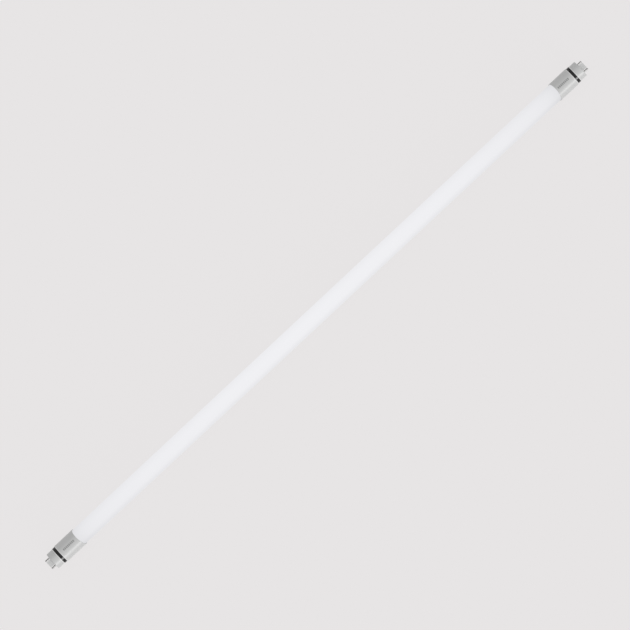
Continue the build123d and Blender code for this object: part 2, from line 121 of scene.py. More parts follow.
def select_points(piece, test):
    """Select the points of a mesh that pass a test, with the edges and faces between them."""
    bpy.ops.object.mode_set(mode="EDIT")
    bpy.ops.mesh.select_mode(type="VERT")
    bpy.ops.mesh.select_all(action="DESELECT")
    bpy.ops.object.mode_set(mode="OBJECT")
    for vertex in piece.data.vertices:
        vertex.select = test(vertex.co)
    bpy.ops.object.mode_set(mode="EDIT")


def near(place):
    """A test for points that lie at one place."""
    return lambda co: (co - place).length < TOUCH


print("points within", round(TOUCH / MM, 3), "mm count as one place")

# %% Draw an outline and spin it
SPIN_STEPS = 144


def draw_outline(name, points):
    """Draw a closed outline of (x, radius) points as one flat face above the axis."""
    corners = [Vector((x, 0, radius)) * MM for x, radius in points]
    bpy.ops.object.select_all(action="DESELECT")
    bpy.ops.mesh.primitive_plane_add(size=MM, location=(0, 0, 0))
    piece = bpy.context.object
    piece.name = name
    bpy.ops.object.mode_set(mode="EDIT")
    bpy.ops.mesh.select_all(action="SELECT")
    bpy.ops.mesh.merge(type="CENTER")
    bpy.ops.transform.translate(value=corners[0])
    for before, after in zip(corners, corners[1:] + corners[:1]):
        bpy.ops.mesh.extrude_region_move(TRANSFORM_OT_translate={"value": after - before})
    bpy.ops.mesh.select_all(action="SELECT")
    bpy.ops.mesh.remove_doubles(threshold=WELD)
    bpy.ops.mesh.edge_face_add()
    return piece


def spin_outline(piece, angle=2 * pi, steps=SPIN_STEPS):
    """Keep only the outline's edges and spin them about the tube's axis."""
    bpy.ops.mesh.select_all(action="SELECT")
    bpy.ops.mesh.delete(type="ONLY_FACE")
    bpy.ops.mesh.select_all(action="SELECT")
    bpy.ops.mesh.spin(steps=steps, angle=angle, center=(0, 0, 0), axis=(1, 0, 0))
    bpy.ops.mesh.select_all(action="SELECT")
    bpy.ops.mesh.remove_doubles(threshold=2 * WELD)
    bpy.ops.mesh.dissolve_degenerate(threshold=WELD)
    bpy.ops.mesh.delete_loose()
    return piece


def face_outwards():
    """Turn every face of the piece in edit mode outwards and leave edit mode."""
    bpy.ops.mesh.select_all(action="SELECT")
    bpy.ops.mesh.normals_make_consistent(inside=False)
    bpy.ops.object.mode_set(mode="OBJECT")


def turned(name, points, rounds):
    """A turned piece from its outline, with rounded corners given as (corner, radius, segments)."""
    piece = draw_outline(name, points)
    for corner, radius, segments in rounds:
        select_points(piece, near(Vector((corner[0], 0, corner[1])) * MM))
        bpy.ops.mesh.bevel(offset=radius * MM, segments=segments, affect="VERTICES", profile=0.5)
    spin_outline(piece)
    face_outwards()
    return piece


print("a full spin:", SPIN_STEPS, "steps of", 360 / SPIN_STEPS, "degrees")

# %% Put a piece at its end of the lamp
SHARP_ANGLE = radians(35)


def only(piece):
    """Make one piece the only selected and active one."""
    bpy.ops.object.select_all(action="DESELECT")
    piece.select_set(True)
    bpy.context.view_layer.objects.active = piece


def at_end(piece, side, turn=0.0):
    """Turn a piece to its end and about the axis, and keep its place in its mesh."""
    only(piece)
    away = 1 if side == "right" else -1
    piece.rotation_euler = (away * turn, 0, 0 if side == "right" else pi)
    piece.location = (away * half_face * MM, 0, axis_height * MM)
    bpy.ops.object.transform_apply(location=True, rotation=True, scale=True)
    return piece


def hand_over(piece, node, finish):
    """Smooth a finished piece, give it its material and let it stand for its construction piece."""
    only(piece)
    bpy.ops.object.shade_smooth_by_angle(angle=SHARP_ANGLE)
    shading = piece.modifiers.new("even_shading", "WEIGHTED_NORMAL")
    shading.keep_sharp = True
    bpy.ops.object.modifier_apply(modifier=shading.name)
    piece.data.materials.clear()
    piece.data.materials.append(finish)
    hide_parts(node)
    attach(piece, "root")
    print(piece.name, len(piece.data.polygons), "faces")
    return piece


print("end faces at x = -", half_face, "and +", half_face, "mm, axis at z =", round(axis_height, 3), "mm")

# %% [markdown]
# ## Finishes
# Every finish starts from the same recipe: two close tones mixed by a fine noise, a roughness that
# wanders a little, and a slight bump. Real mouldings and coatings are never quite even, and those
# three together are what makes a surface look like a material and not like a colour. Pictures of
# real plastic would do it too, but they stretch, repeat and have to be kept with the file. Noise
# has none of that. It is read from Object coordinates, so it stays on the piece. What each finish
# adds comes after.

# %% Nodes and noise
COLOUR_A, COLOUR_B, COLOUR_OUT = 6, 7, 2
NOISE_LOW, NOISE_HIGH = 0.3, 0.7


def add(tree, kind, settings=None, **values):
    """Add a node, set its choices and then the values of its sockets."""
    node = tree.nodes.new(kind)
    for key, value in (settings or {}).items():
        setattr(node, key, value)
    for key, value in values.items():
        node.inputs[key.replace("_", " ")].default_value = value
    return node


def coordinates(tree, scale=(1, 1, 1)):
    """Places on the piece, stretched along its axes."""
    place = add(tree, "ShaderNodeTexCoord")
    mapping = add(tree, "ShaderNodeMapping", Scale=scale)
    tree.links.new(place.outputs["Object"], mapping.inputs["Vector"])
    return mapping.outputs["Vector"]


def noise(tree, vector, size, detail=3.0):
    """Noise whose grains are about one size, in millimetres."""
    made = add(tree, "ShaderNodeTexNoise", Scale=1 / (size * MM), Detail=detail)
    tree.links.new(vector, made.inputs["Vector"])
    return made.outputs["Fac"]


def spread(tree, value, low, high):
    """Map a noise onto a range of values."""
    made = add(tree, "ShaderNodeMapRange", From_Min=NOISE_LOW, From_Max=NOISE_HIGH, To_Min=low, To_Max=high)
    tree.links.new(value, made.inputs["Value"])
    return made.outputs["Result"]


print("noise between", NOISE_LOW, "and", NOISE_HIGH, "is spread over each range")

# %% The shared recipe
TONE_GRAINS = 12
WANDER_GRAINS = 5
WANDER = 0.1
RELIEF = 0.3


def finish(name, colour, roughness, metallic=0.0, tone=0.04, grain=0.4, bump=0.01, stretch=(1, 1, 1)):
    """A material with two close tones, a wandering roughness and a fine bump."""
    made = bpy.data.materials.new(name)
    made.use_nodes = True
    tree = made.node_tree
    shader = tree.nodes["Principled BSDF"]
    shader.inputs["Metallic"].default_value = metallic
    vector = coordinates(tree, stretch)
    tones = add(tree, "ShaderNodeMix", {"data_type": "RGBA"})
    tones.inputs[COLOUR_A].default_value = (*[c * (1 - tone) for c in colour], 1)
    tones.inputs[COLOUR_B].default_value = (*[min(c * (1 + tone), 1.0) for c in colour], 1)
    tree.links.new(noise(tree, vector, TONE_GRAINS * grain), tones.inputs[0])
    tree.links.new(tones.outputs[COLOUR_OUT], shader.inputs["Base Color"])
    patches = noise(tree, vector, WANDER_GRAINS * grain)
    wander = spread(tree, patches, (1 - WANDER) * roughness, (1 + WANDER) * roughness)
    tree.links.new(wander, shader.inputs["Roughness"])
    relief = add(tree, "ShaderNodeBump", Strength=RELIEF, Distance=bump * MM)
    tree.links.new(noise(tree, vector, grain), relief.inputs["Height"])
    tree.links.new(relief.outputs["Normal"], shader.inputs["Normal"])
    return made, shader, tones.outputs[COLOUR_OUT]


print("tones change every", TONE_GRAINS, "grains, roughness every", WANDER_GRAINS)

# %% [markdown]
# ## The satin grey of the caps
# The caps and pin holders are moulded in a light grey with a fine satin texture. Under a soft box
# the satin shows as a wide, soft-edged stripe along the cap, so the roughness matters more than
# the colour. The texture also scatters light at a grazing angle, which lifts the cap's two edges,
# and a little sheen does that. Each cap carries a printed mark on its light side. Here it is a
# plain row of bars. Thin plates would stand out from the cap, and print doesn't, so the bars are
# a darker tone that is mixed in where a mask of the position is one. The edges beside the black
# ring carry a painted highlight, a lighter tone from such masks that stands in for the thin lines
# of light beside the ring. The tongue between the pins is lighter than the rest, from a mask too.

# %% Tones of the grey and the size of the mark
CAP_GREY = (0.45, 0.452, 0.45)
TONGUE_GREY = (0.54, 0.542, 0.54)
# The lighter tones for the cap's edge and the holder's lip beside the ring, and their width, paint a
# highlight there.
CAP_EDGE_HIGHLIGHT_GREY = (0.56, 0.562, 0.56)
LIP_HIGHLIGHT_GREY = (0.595, 0.597, 0.595)
HIGHLIGHT_LINE_WIDTH = 1.1
CAP_ROUGHNESS = 0.36
CAP_SPECULAR = 0.38
CAP_SHEEN = 0.14
SHEEN_ROUGHNESS = 0.35
MARK_GREY = (0.235, 0.237, 0.235)
MARK_LENGTH = 19.0
MARK_HEIGHT = 3.0
MARK_FROM_FACE = 31.0
MARK_LEAN = radians(9)
BAR_COUNT = 8
BAR_SHARE = 0.7
BAR_PITCH = MARK_LENGTH / (BAR_COUNT - 1 + BAR_SHARE)
print("mark:", BAR_COUNT, "bars on", MARK_LENGTH, "mm, one every", round(BAR_PITCH, 2), "mm")


# %% Arithmetic on the place
def math_node(tree, operation, *values):
    """One step of arithmetic on sockets or numbers."""
    made = add(tree, "ShaderNodeMath", {"operation": operation})
    for socket, value in zip(made.inputs, values):
        if isinstance(value, bpy.types.NodeSocket):
            tree.links.new(value, socket)
        else:
            socket.default_value = value
    return made.outputs[0]


def within(tree, value, half):
    """One where a value lies closer to zero than half, and zero elsewhere."""
    return math_node(tree, "LESS_THAN", math_node(tree, "ABSOLUTE", value), half)


def split_place(tree):
    """The three coordinates of a place on the piece."""
    place = add(tree, "ShaderNodeTexCoord")
    split = add(tree, "ShaderNodeSeparateXYZ")
    tree.links.new(place.outputs["Object"], split.inputs[0])
    return split.outputs


def beyond(tree, from_face):
    """One where the piece is nearer to its own end than a distance from the end face."""
    distance = math_node(tree, "ABSOLUTE", split_place(tree)[0])
    return math_node(tree, "GREATER_THAN", distance, (half_face - from_face) * MM)


print("places are measured from the end faces, which lie", 2 * half_face, "mm apart")


# %% Masks for the mark, the painted highlights beside the ring and the tongue
def mark_mask(tree):
    """One on the printed bars: a row along the cap, on the side that faces up and to the front."""
    x, y, z = split_place(tree)
    along = math_node(tree, "SUBTRACT", math_node(tree, "ABSOLUTE", x), (half_face - MARK_FROM_FACE) * MM)
    height = math_node(tree, "SUBTRACT", z, axis_height * MM)
    across = math_node(
        tree, "ADD",
        math_node(tree, "MULTIPLY", y, cos(MARK_LEAN)),
        math_node(tree, "MULTIPLY", height, sin(MARK_LEAN)),
    )
    in_row = math_node(
        tree, "MULTIPLY",
        within(tree, along, MARK_LENGTH / 2 * MM),
        within(tree, across, MARK_HEIGHT / 2 * MM),
    )
    step = math_node(tree, "DIVIDE", math_node(tree, "ADD", along, MARK_LENGTH / 2 * MM), BAR_PITCH * MM)
    on_bar = math_node(tree, "LESS_THAN", math_node(tree, "FRACT", step), BAR_SHARE)
    upper = math_node(tree, "GREATER_THAN", height, 0.0)
    return math_node(tree, "MULTIPLY", math_node(tree, "MULTIPLY", in_row, on_bar), upper)


def cap_edge_highlight_mask(tree):
    """One on the cap's edge beside the ring, where the painted highlight goes."""
    return beyond(tree, ring_back + HIGHLIGHT_LINE_WIDTH)


def lip_highlight_mask(tree):
    """One on the holder's lip beside the ring, where the painted highlight goes."""
    return math_node(tree, "SUBTRACT", 1.0, beyond(tree, holder_length - HIGHLIGHT_LINE_WIDTH))


def tongue_mask(tree):
    """One on the tongue, the only part of the moulding that passes the end face."""
    return beyond(tree, 0.0)


print("light edges:", HIGHLIGHT_LINE_WIDTH, "mm wide")


# %% Mix the tones into the grey
def satin_grey(name, areas):
    """The grey moulding, with another tone in each area where a mask is one."""
    made, shader, colour = finish(name, CAP_GREY, CAP_ROUGHNESS, tone=0.025, grain=0.3, bump=0.02)
    shader.inputs["Specular IOR Level"].default_value = CAP_SPECULAR
    shader.inputs["Sheen Weight"].default_value = CAP_SHEEN
    shader.inputs["Sheen Roughness"].default_value = SHEEN_ROUGHNESS
    tree = made.node_tree
    for mask, tone in areas:
        both = add(tree, "ShaderNodeMix", {"data_type": "RGBA"})
        both.inputs[COLOUR_B].default_value = (*tone, 1)
        tree.links.new(mask(tree), both.inputs[0])
        tree.links.new(colour, both.inputs[COLOUR_A])
        colour = both.outputs[COLOUR_OUT]
    tree.links.new(colour, shader.inputs["Base Color"])
    return made


# The edge tone on the cap and the lip tone on the holder are painted highlights beside the ring. The mark
# is print.
cap_areas = [(cap_edge_highlight_mask, CAP_EDGE_HIGHLIGHT_GREY), (mark_mask, MARK_GREY)]
cap_finish = satin_grey("satin_grey_printed", cap_areas)
holder_finish = satin_grey("satin_grey", [(lip_highlight_mask, LIP_HIGHLIGHT_GREY), (tongue_mask, TONGUE_GREY)])
print("finishes:", cap_finish.name, "and", holder_finish.name)

# %% [markdown]
# ## The moulded end cap
# On the real lamp the cap is one moulding: a thin sleeve over the tube, a wall behind the ring, and
# a narrow neck with a snap bead that carries the ring and the pin holder. Its rim is cut at a
# slant, longer below than above. The outline is spun first with a sleeve that is too long, and a
# bisecting plane then cuts the slant, because a plane gives the true ellipse on both walls.

# %% The cap's sizes
CAP_WALL = 0.75
SLEEVE_FIT = 0.05
CAP_SLANT = 7.4
CAP_EDGE_ROUND = 0.5
CAP_RIM_ROUND = 0.25
SHOULDER_WALL = 1.6
NECK_FRONT = 3.3
NECK_RADIUS = 10.85
NECK_WALL = 1.4
BEAD_FRONT = NECK_FRONT + 1.6
BEAD_HEIGHT = 0.3
BEAD_WIDTH = 1.0
PLUG_RADIUS = 10.2
PLUG_END = 33.0
PLUG_TOP = 3.0
PLUG_BOTTOM = 7.5
PLUG_STEPS = 12
rim_lean = CAP_SLANT / (2 * cap_radius)
print("cap wall", CAP_WALL, "mm, rim slanted by", round(degrees(atan(rim_lean)), 1), "degrees")


# %% Spin the cap and cut its slanted rim
def cap_shell(name, rim_back):
    """The sleeve, the wall, the neck and its bead as one spun surface, with a sleeve to spare."""
    bore = cap_radius - CAP_WALL
    shoulder = -(ring_back + SHOULDER_WALL)
    neck_bore = NECK_RADIUS - NECK_WALL
    points = [
        (-NECK_FRONT, neck_bore),
        (-NECK_FRONT, NECK_RADIUS),
        (-BEAD_FRONT, NECK_RADIUS),
        (-BEAD_FRONT - BEAD_WIDTH, NECK_RADIUS + BEAD_HEIGHT),
        (-BEAD_FRONT - BEAD_WIDTH, NECK_RADIUS),
        (-ring_back, NECK_RADIUS),
        (-ring_back, cap_radius),
        (rim_back - cap_radius, cap_radius),
        (rim_back - cap_radius, bore),
        (shoulder, bore),
        (shoulder, neck_bore),
    ]
    return turned(name, points, [((-ring_back, cap_radius), CAP_EDGE_ROUND, 5)])


def cut_rim(piece, rim_back):
    """Cut the sleeve at a slant, close the cut between its two walls and round its edges."""
    middle = Vector((rim_back + CAP_SLANT / 2, 0, 0)) * MM
    away = Vector((-1, 0, rim_lean)).normalized()
    only(piece)
    bpy.ops.object.mode_set(mode="EDIT")
    bpy.ops.mesh.select_all(action="SELECT")
    bpy.ops.mesh.bisect(plane_co=middle, plane_no=away, clear_outer=True, use_fill=False)
    bpy.ops.mesh.bridge_edge_loops()
    select_points(piece, lambda co: abs((co - middle).dot(away)) < TOUCH)
    bpy.ops.mesh.bevel(offset=CAP_RIM_ROUND * MM, segments=3, affect="EDGES", profile=0.5)
    face_outwards()
    return piece


print("rim rounded by", CAP_RIM_ROUND, "mm")


# %% Add the plug tongues and make both caps
def plug_tongue(hand):
    """One of the two tongues that reach into the carrier: a short arc of a tube."""
    inner = NECK_RADIUS - NECK_WALL
    shoulder = -(ring_back + SHOULDER_WALL)
    points = [(-PLUG_END, inner), (-PLUG_END, PLUG_RADIUS), (shoulder, PLUG_RADIUS), (shoulder, inner)]
    piece = draw_outline("plug_tongue", points)
    first, last = asin(PLUG_TOP / PLUG_RADIUS), asin(PLUG_BOTTOM / PLUG_RADIUS)
    spin_outline(piece, angle=last - first, steps=PLUG_STEPS)
    bpy.ops.mesh.select_all(action="SELECT")
    bpy.ops.mesh.fill_holes(sides=4)
    bpy.ops.object.mode_set(mode="OBJECT")
    middle = Vector((0, hand * cos((first + last) / 2), -sin((first + last) / 2)))
    now = sum((v.co for v in piece.data.vertices), Vector()) / len(piece.data.vertices)
    turn = Vector((now.z, now.y)).angle_signed(Vector((middle.z, middle.y)))
    piece.rotation_euler.x = turn
    bpy.ops.object.transform_apply(location=True, rotation=True, scale=True)
    bpy.ops.object.mode_set(mode="EDIT")
    face_outwards()
    return piece


def join(pieces):
    """Join several meshes into the first one."""
    only(pieces[0])
    for piece in pieces[1:]:
        piece.select_set(True)
    bpy.ops.object.join()
    return pieces[0]


for side in ("left", "right"):
    low, high = size_of(f"end_cap_{side}")
    rim_back = -(half_face - min(abs(low.x), abs(high.x)))
    cap = cut_rim(cap_shell(f"moulded_cap_{side}", rim_back), rim_back)
    cap = join([cap, plug_tongue(-1), plug_tongue(1)])
    hand_over(at_end(cap, side), f"end_cap_{side}", cap_finish)

# %% [markdown]
# ## The glossy black ring
# The ring between the cap and the pin holder is the only dark piece, and it is polished, so it
# mirrors the soft box as a small bright spot. A band round the cap would do for the outside. The
# ring is a body of its own with a bore that fits the cap's neck, so it is spun like the others.
# Its two outer edges are rounded, and each round catches a thin line of light.

# %% Spin the ring
RING_EDGE_ROUND = 0.3
RING_FIT = 0.1
RING_BLACK = (0.005, 0.005, 0.0055)
RING_ROUGHNESS = 0.19
RING_SPECULAR = 0.35
ring_finish, ring_shader, _ = finish("gloss_black", RING_BLACK, RING_ROUGHNESS, tone=0.1, grain=0.5,
                                     bump=0.002)
ring_shader.inputs["Specular IOR Level"].default_value = RING_SPECULAR


def black_ring(name):
    """The ring, whose bore fits the cap's neck."""
    bore = NECK_RADIUS + RING_FIT
    front, back = -holder_length, -ring_back
    points = [(front, bore), (front, ring_radius), (back, ring_radius), (back, bore)]
    rounds = [(corner, RING_EDGE_ROUND, 4) for corner in points[1:3]]
    return turned(name, points, rounds)


for side in ("left", "right"):
    ring = at_end(black_ring(f"gloss_ring_{side}"), side)
    hand_over(ring, f"black_ring_{side}", ring_finish)

# %% [markdown]
# ## The pin holder
# The holder is a cup that snaps over the cap's neck. Its end wall carries the pins, each in a
# shallow dish with a boss behind it, and a flat tongue that stands between them. The cup is spun.
# The tongue and the bosses are added, and the dishes and holes are cut, with Boolean modifiers,
# because a round hole off the axis can't be spun.

# %% The holder's sizes
HOLDER_STEP = 0.45
HOLDER_WALL = 1.4
HOLDER_EDGE_ROUND = 0.6
LIP_LENGTH = 1.2
LIP_EDGE_ROUND = 0.25
END_WALL = 2.5
GROOVE_FIT = 0.1
BOSS_DEPTH = 2.5
BOSS_RADIUS = 2.33
DISH_DEPTH = 0.3
DISH_RADIUS = pin_radius + 0.6
CUT_SPARE = 1.0
PIN_HOLE_RADIUS = 1.03
TONGUE_GAP = 0.675
TONGUE_THICKNESS = 2.0
TONGUE_TIP_ROUND = 0.5
ROUND_PIN_STEPS = 64
holder_radius = ring_radius - HOLDER_STEP
print("holder: radius", round(holder_radius, 2), "mm, length", round(holder_length, 2), "mm")


# %% Spin the cup
def holder_cup(name):
    """The cup with its lip beside the ring and the groove for the snap bead."""
    bore = holder_radius - HOLDER_WALL
    lip = -(holder_length - LIP_LENGTH)
    groove_front = -BEAD_FRONT + GROOVE_FIT
    groove_back = -BEAD_FRONT - BEAD_WIDTH - GROOVE_FIT
    points = [
        (0, 0),
        (0, holder_radius),
        (lip, holder_radius),
        (lip, ring_radius),
        (-holder_length, ring_radius),
        (-holder_length, bore),
        (groove_back, bore),
        (groove_back, bore + BEAD_HEIGHT),
        (groove_front, bore + BEAD_HEIGHT),
        (groove_front, bore),
        (-END_WALL, bore),
        (-END_WALL, 0),
    ]
    rounds = [((0, holder_radius), HOLDER_EDGE_ROUND, 5), ((lip, ring_radius), LIP_EDGE_ROUND, 4)]
    return turned(name, points, rounds)


print("groove for the bead:", round(BEAD_WIDTH + 2 * GROOVE_FIT, 2), "mm wide")


# %% Rods for bosses, dishes and holes, and the tongue
def rod(name, radius, front, back, side):
    """A round bar along X beside the axis, for a boss, a dish or a hole."""
    bpy.ops.object.select_all(action="DESELECT")
    bpy.ops.mesh.primitive_cylinder_add(
        vertices=ROUND_PIN_STEPS,
        radius=radius * MM,
        depth=(front - back) * MM,
        location=((front + back) / 2 * MM, side * MM, 0),
        rotation=(0, pi / 2, 0),
    )
    piece = bpy.context.object
    piece.name = name
    bpy.ops.object.transform_apply(location=True, rotation=True, scale=True)
    return piece


def tongue():
    """The flat tongue between the pins, with its tip edges rounded."""
    width = pin_pitch - 2 * (pin_radius + TONGUE_GAP)
    sunk = END_WALL / 2
    length = pin_length + sunk
    bpy.ops.object.select_all(action="DESELECT")
    bpy.ops.mesh.primitive_cube_add(size=1, location=((pin_length - sunk) / 2 * MM, 0, 0))
    piece = bpy.context.object
    piece.scale = (length * MM, width * MM, TONGUE_THICKNESS * MM)
    bpy.ops.object.transform_apply(location=True, rotation=True, scale=True)
    select_points(piece, lambda co: co.x > pin_length * MM - TOUCH)
    bpy.ops.mesh.bevel(offset=TONGUE_TIP_ROUND * MM, segments=4, affect="EDGES", profile=0.5)
    bpy.ops.object.mode_set(mode="OBJECT")
    return piece


print("tongue:", round(pin_length, 2), "mm long,", TONGUE_THICKNESS, "mm thick")


# %% Join and cut, and make both holders
def combine(piece, other, operation):
    """Apply a Boolean modifier and delete the helper piece."""
    only(piece)
    modifier = piece.modifiers.new(operation.lower(), "BOOLEAN")
    modifier.operation = operation
    modifier.solver = "EXACT"
    modifier.object = other
    bpy.ops.object.modifier_apply(modifier=modifier.name)
    bpy.data.objects.remove(other, do_unlink=True)
    return piece


def pin_holder(name):
    """The cup with its tongue, and a boss, a dish and a hole for each pin."""
    piece = combine(holder_cup(name), tongue(), "UNION")
    for hand in (-1, 1):
        side = hand * pin_pitch / 2
        boss = rod("boss", BOSS_RADIUS, -END_WALL / 2, -END_WALL - BOSS_DEPTH, side)
        combine(piece, boss, "UNION")
        combine(piece, rod("dish", DISH_RADIUS, CUT_SPARE, -DISH_DEPTH, side), "DIFFERENCE")
        hole = rod("hole", PIN_HOLE_RADIUS, 0, -END_WALL - BOSS_DEPTH - CUT_SPARE, side)
        combine(piece, hole, "DIFFERENCE")
    return piece


for side in ("left", "right"):
    holder = at_end(pin_holder(f"moulded_pin_holder_{side}"), side, pin_turn)
    hand_over(holder, f"pin_holder_{side}", holder_finish)

# %% [markdown]
# ## The contact pins
# Each pin is turned brass with a nickel finish: a shank with a rounded tip, a narrower seat in the
# end wall, a rivet head behind the boss, and a hollow tail for the lead. Stacked cylinders would
# leave faces inside where they meet, so the whole pin is one spun outline. Nickel is a metal, so
# nearly all of its look is what it mirrors. Its roughness spreads the soft box into a soft line.

# %% The pin's sizes and finish
PIN_TIP_ROUND = 0.55
PIN_TIP_WALL = 1.2
PIN_SEAT_RADIUS = 1.0
PIN_BORE = 0.65
PIN_TAIL_RADIUS = 0.95
RIVET_RADIUS = 1.5
RIVET_LENGTH = 0.8
NICKEL = (0.335, 0.335, 0.332)
NICKEL_ROUGHNESS = 0.44
pin_finish = finish("nickel_plate", NICKEL, NICKEL_ROUGHNESS, metallic=1.0, grain=0.15, bump=0.003,
                    stretch=(6, 1, 1))[0]
print("pin:", round(2 * pin_radius, 2), "mm across,", round(pin_length + pin_tail, 2), "mm long in all")


# %% Spin the four pins
def contact_pin(name):
    """One pin, hollow from its tail to just behind the tip."""
    boss_end = -(END_WALL + BOSS_DEPTH)
    rivet_end = boss_end - RIVET_LENGTH
    points = [
        (pin_length, 0),
        (pin_length, pin_radius),
        (-DISH_DEPTH, pin_radius),
        (-DISH_DEPTH, PIN_SEAT_RADIUS),
        (boss_end, PIN_SEAT_RADIUS),
        (boss_end, RIVET_RADIUS),
        (rivet_end, RIVET_RADIUS),
        (rivet_end, PIN_TAIL_RADIUS),
        (-pin_tail, PIN_TAIL_RADIUS),
        (-pin_tail, PIN_BORE),
        (pin_length - PIN_TIP_WALL, PIN_BORE),
        (pin_length - PIN_TIP_WALL, 0),
    ]
    return turned(name, points, [((pin_length, pin_radius), PIN_TIP_ROUND, 6)])


for side in ("left", "right"):
    for place in ("front", "back"):
        node = f"contact_pin_{side}_{place}"
        pin = at_end(contact_pin(f"nickel_pin_{side}_{place}"), side)
        only(pin)
        pin.location = Vector(mounts[f"pin_{side}_{place}"]["pos_m"]) * Vector((0, 1, 1))
        pin.location.z -= axis_height * MM
        bpy.ops.object.transform_apply(location=True, rotation=True, scale=True)
        hand_over(pin, node, pin_finish)

# %% [markdown]
# ## The opal tube
# The tube is one extrusion, a thin opal wall with two small rails inside that hold the carrier.
# A cylinder is opened, given its wall by a Solidify modifier, and the rails are extruded from the
# inner wall. The upper half glows over a nearly black body, so the studio's shading hardly shows
# there. The glow is the lamp's own light, and it is partly painted light, which makes the tube
# evenly white. Real lamps inside a wall that scatters light would give that too, but slowly and with grain
# in every render. The glow is a little weaker to the sides, and dimmer beside each cap's rim and towards
# each end. So the soft glow is part of the finish: an emission that fades towards each cap's rim. The
# carrier keeps it from the lower half, which is plain white plastic and shows the studio's own shading.

# %% A glow that paints the tube an even white, and fades near the caps
# The body under the glow is nearly black, so the glow, not the studio light, paints the upper half an even
# white.
DARK_UNDER_GLOW = (0.035, 0.035, 0.036)
PLAIN_WHITE = (0.72, 0.72, 0.73)
TUBE_GLOW = (0.83, 0.83, 0.855)
OPAL_ROUGHNESS = 0.6
OPAL_SPECULAR = 0.2
RIM_FADE = 0.075
RIM_REACH = 12.0
END_FADE = 0.062
END_REACH = 130.0
SIDE_FADE = 0.13
SHADE_LOW = -0.6
SHADE_HIGH = 0.05


def opal_finish(rim, lean):
    """Satin body, nearly black under the glow of its upper half, which paints an even white and is less
    near the slanted rims of the caps.
    """
    made, shader, tones = finish("opal_white", DARK_UNDER_GLOW, OPAL_ROUGHNESS, tone=0.015, grain=0.6,
                                  bump=0.004)
    tree = made.node_tree
    shader.inputs["Specular IOR Level"].default_value = OPAL_SPECULAR
    shader.inputs["Emission Strength"].default_value = 1.0
    x, _, z = split_place(tree)
    height = math_node(tree, "SUBTRACT", z, axis_height * MM)
    edge = math_node(tree, "MULTIPLY_ADD", height, lean, rim * MM)
    from_rim = math_node(tree, "SUBTRACT", edge, math_node(tree, "ABSOLUTE", x))
    facing_up = math_node(tree, "DIVIDE", height, tube_radius * MM)
    level = math_node(tree, "MULTIPLY_ADD", facing_up, SIDE_FADE, 1 - SIDE_FADE)
    for share, reach in ((RIM_FADE, RIM_REACH), (END_FADE, END_REACH)):
        falling = math_node(tree, "EXPONENT", math_node(tree, "DIVIDE", from_rim, -reach * MM))
        level = math_node(tree, "SUBTRACT", level, math_node(tree, "MULTIPLY", falling, share))
    lit = add(tree, "ShaderNodeMapRange", {"interpolation_type": "SMOOTHSTEP"}, From_Min=SHADE_LOW,
              From_Max=SHADE_HIGH)
    tree.links.new(facing_up, lit.inputs["Value"])
    level = math_node(tree, "MULTIPLY", level, lit.outputs["Result"])
    body = add(tree, "ShaderNodeMix", {"data_type": "RGBA"})
    body.inputs[COLOUR_A].default_value = (*PLAIN_WHITE, 1)
    tree.links.new(lit.outputs["Result"], body.inputs[0])
    tree.links.new(tones, body.inputs[COLOUR_B])
    tree.links.new(body.outputs[COLOUR_OUT], shader.inputs["Base Color"])
    glow = add(tree, "ShaderNodeMix", {"data_type": "RGBA"})
    glow.inputs[COLOUR_A].default_value = (0, 0, 0, 1)
    glow.inputs[COLOUR_B].default_value = (*TUBE_GLOW, 1)
    tree.links.new(level, glow.inputs[0])
    tree.links.new(glow.outputs[COLOUR_OUT], shader.inputs["Emission Color"])
    return made


print("the glow fades over", RIM_REACH, "mm beside each rim and over", END_REACH, "mm at each end")

# %% Model the tube
TUBE_WALL = 1.1
TUBE_STEPS = 160
RAIL_FROM = 2
RAIL_TO = 4
RAIL_REACH = 1.4


def opal_tube():
    """The tube with its wall and the two rails inside."""
    length = tube_high.x - tube_low.x
    bpy.ops.object.select_all(action="DESELECT")
    bpy.ops.mesh.primitive_cylinder_add(
        vertices=TUBE_STEPS,
        radius=tube_radius * MM,
        depth=length * MM,
        end_fill_type="NOTHING",
        location=((tube_high.x + tube_low.x) / 2 * MM, 0, axis_height * MM),
        rotation=(0, pi / 2, 0),
    )
    piece = bpy.context.object
    piece.name = "opal_diffuser"
    bpy.ops.object.transform_apply(location=True, rotation=True, scale=True)
    wall = piece.modifiers.new("wall", "SOLIDIFY")
    wall.thickness = TUBE_WALL * MM
    wall.offset = -1
    wall.use_even_offset = True
    bpy.ops.object.modifier_apply(modifier=wall.name)
    step = 2 * pi / TUBE_STEPS
    bore = (tube_radius - TUBE_WALL) * MM
    for hand in (-1, 1):
        def on_rail(co):
            z = co.z - axis_height * MM
            inside = Vector((co.y, z)).length < bore + 10 * TOUCH
            in_band = bore * sin((RAIL_FROM - 0.5) * step) < z < bore * sin((RAIL_TO + 0.5) * step)
            return inside and in_band and hand * co.y > 0

        select_points(piece, on_rail)
        bpy.ops.mesh.select_mode(type="FACE")
        bpy.ops.mesh.extrude_region_move(
            TRANSFORM_OT_translate={"value": (0, -hand * RAIL_REACH * MM, 0)}
        )
        bpy.ops.object.mode_set(mode="OBJECT")
    return piece


rim_middle = half_face - (cap_high.x - cap_low.x + NECK_FRONT - CAP_SLANT / 2)
tube_finish = opal_finish(rim_middle, rim_lean)
hand_over(opal_tube(), "opal_tube", tube_finish)

# %% [markdown]
# ## What is inside
# The carrier, the two boards and the driver's parts are sealed in the opal tube and don't show.
# They keep their construction shapes, and each still gets the finish of its real material, so
# that the lamp can be opened up or cut away without a plain grey piece in sight.

# %% Dress the pieces that stay as they are
def dress(nodes, material):
    """Put a material on construction pieces that keep their shape."""
    for name in nodes:
        piece = frame["nodes"][name]
        if not piece.material_slots:
            piece.data.materials.append(material)
        for slot in piece.material_slots:
            slot.material = material
    print(material.name, "on", ", ".join(nodes))


